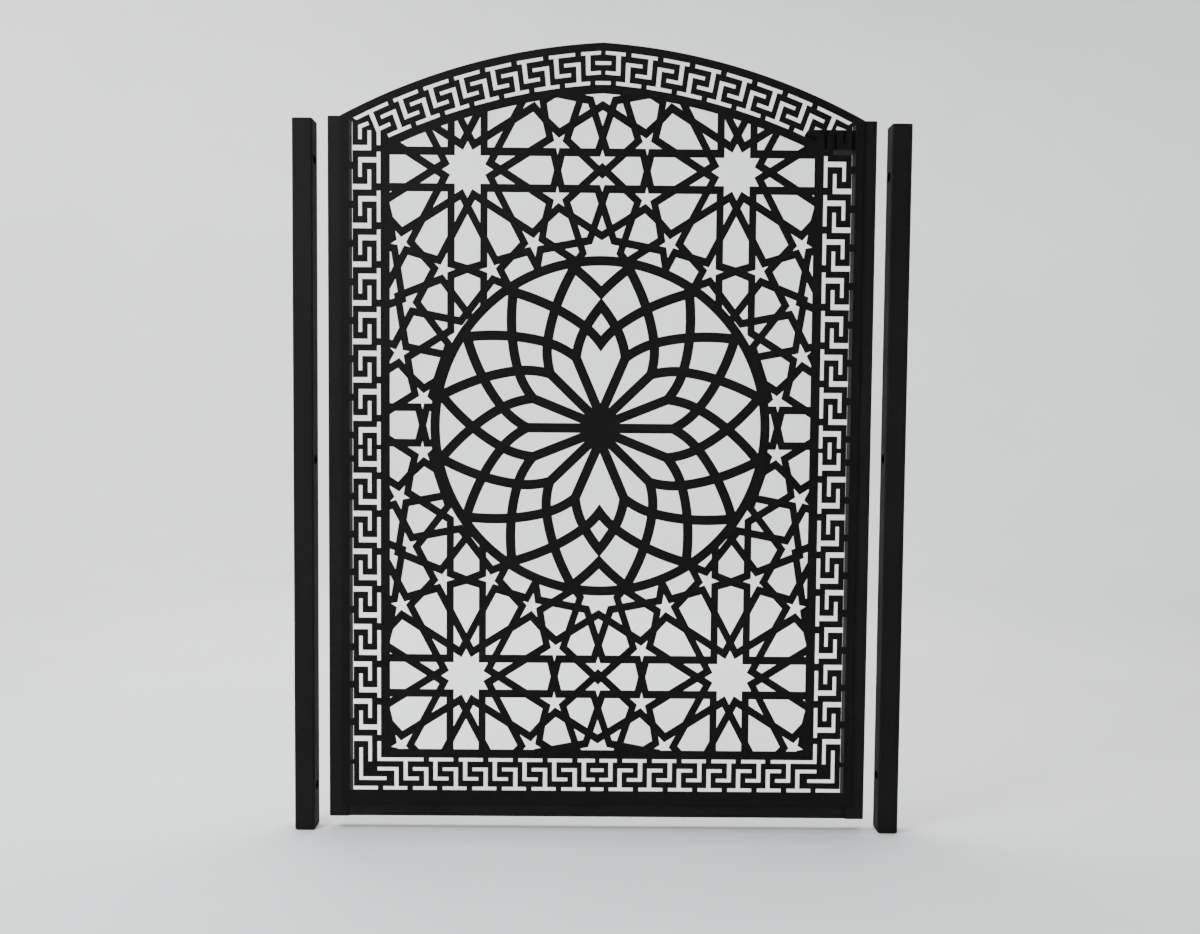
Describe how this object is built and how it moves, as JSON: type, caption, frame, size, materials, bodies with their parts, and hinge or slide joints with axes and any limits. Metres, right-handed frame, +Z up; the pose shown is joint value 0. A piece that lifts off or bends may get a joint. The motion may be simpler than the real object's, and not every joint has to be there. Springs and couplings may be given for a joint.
{
  "type": "metal garden gate",
  "caption": "Arched garden gate: a laser-cut steel sheet with a star lattice, a ringed rosette and a key-pattern border on a box-section frame, with two wall jambs.",
  "frame": {"origin": "middle of the left jamb's outer face, the face that is screwed to the masonry", "axes": "+X across the gate from the left jamb to the right jamb, +Z up, -Y to the front, the side the cut sheet is on"},
  "size_m": [1.22, 0.0433, 1.5688],
  "materials": {
    "sheet_paint": "satin black powder coat on laser-cut steel sheet",
    "frame_paint": "satin black powder coat on steel box section",
    "block_paint": "dull black paint, behind the sheet",
    "jamb_paint": "satin black powder coat on steel box section"
  },
  "bodies": {
    "root": {"lattice_panel": "sheet_paint", "left_stile": "frame_paint", "right_stile": "frame_paint", "bottom_rail": "frame_paint", "corner_block": "block_paint", "left_stile_cap": "frame_paint", "right_stile_cap": "frame_paint", "left_jamb": "jamb_paint", "right_jamb": "jamb_paint", "left_jamb_head_cap": "jamb_paint", "left_jamb_foot_cap": "jamb_paint", "right_jamb_head_cap": "jamb_paint", "right_jamb_foot_cap": "jamb_paint"}
  },
  "joints": []
}
